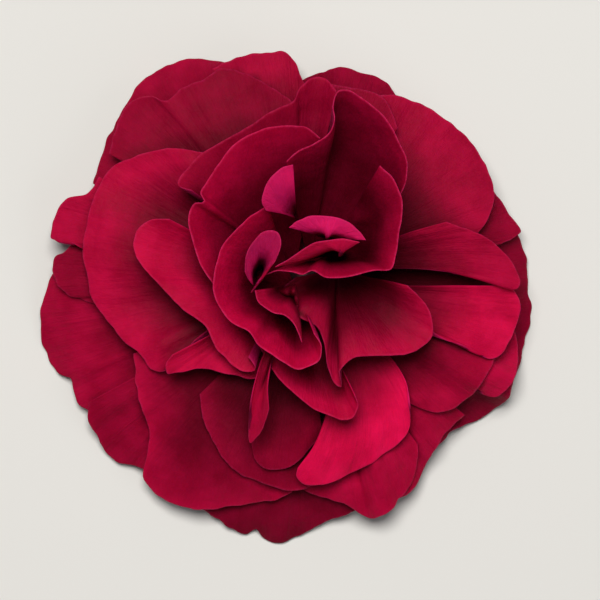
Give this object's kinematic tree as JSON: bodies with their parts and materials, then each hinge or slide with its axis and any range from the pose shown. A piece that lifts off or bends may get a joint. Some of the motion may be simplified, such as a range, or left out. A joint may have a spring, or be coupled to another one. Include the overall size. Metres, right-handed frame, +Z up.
{
  "type": "double impatiens bloom",
  "caption": "Single double impatiens bloom, picked with its short stem and laid face up: ruffled crimson petals folded round a tight heart.",
  "frame": {"origin": "under the middle of the bloom, on the surface that it lies on", "axes": "+Z up out of the bloom's open face, +Y towards the top of the bloom as seen from above, +X to its right"},
  "size_m": [0.045, 0.0448, 0.0216],
  "materials": {
    "petal": "satin",
    "inner_petal": "satin",
    "back_petal": "satin",
    "cream_sepal": "satin",
    "green_sepal": "satin",
    "stem": "satin"
  },
  "bodies": {
    "root": {"back_petal_top_left": "back_petal", "back_petal_top_right": "back_petal", "back_petal_left": "back_petal", "back_petal_bottom_left": "back_petal", "back_petal_bottom": "back_petal", "back_petal_right": "back_petal", "back_petal_bottom_right": "back_petal", "outer_petal_top": "petal", "outer_petal_right_upper": "petal", "outer_petal_left_lower": "petal", "outer_petal_left_upper": "petal", "outer_petal_bottom_right": "petal", "outer_petal_bottom": "petal", "outer_petal_right_lower": "petal", "outer_petal_bottom_left": "petal", "outer_petal_top_left": "petal", "broad_petal_top_right": "petal", "broad_petal_left": "petal", "broad_petal_right_low": "petal", "broad_petal_bottom_inner": "petal", "broad_petal_right": "petal", "broad_petal_right_top": "petal", "broad_petal_bottom_middle": "petal", "broad_petal_bottom_right": "petal", "small_petal_top": "petal", "folded_petal_left_low": "petal", "raised_petal_top_left": "petal", "spear_petal_left": "petal", "cupped_petal_bottom": "petal", "narrow_petal_bottom": "petal", "folded_petal_right": "petal", "cup_petal_top_left": "inner_petal", "hood_petal": "inner_petal", "cup_petal_left": "inner_petal", "curled_petal_top": "inner_petal", "cup_petal_right": "inner_petal", "heart_petal_left": "inner_petal", "heart_petal_bottom": "inner_petal", "heart_petal_top": "inner_petal", "heart_petal_middle": "inner_petal", "lower_sepal": "cream_sepal", "side_sepal_left": "green_sepal", "side_sepal_right": "green_sepal", "receptacle": "stem", "stem": "stem"}
  },
  "joints": []
}
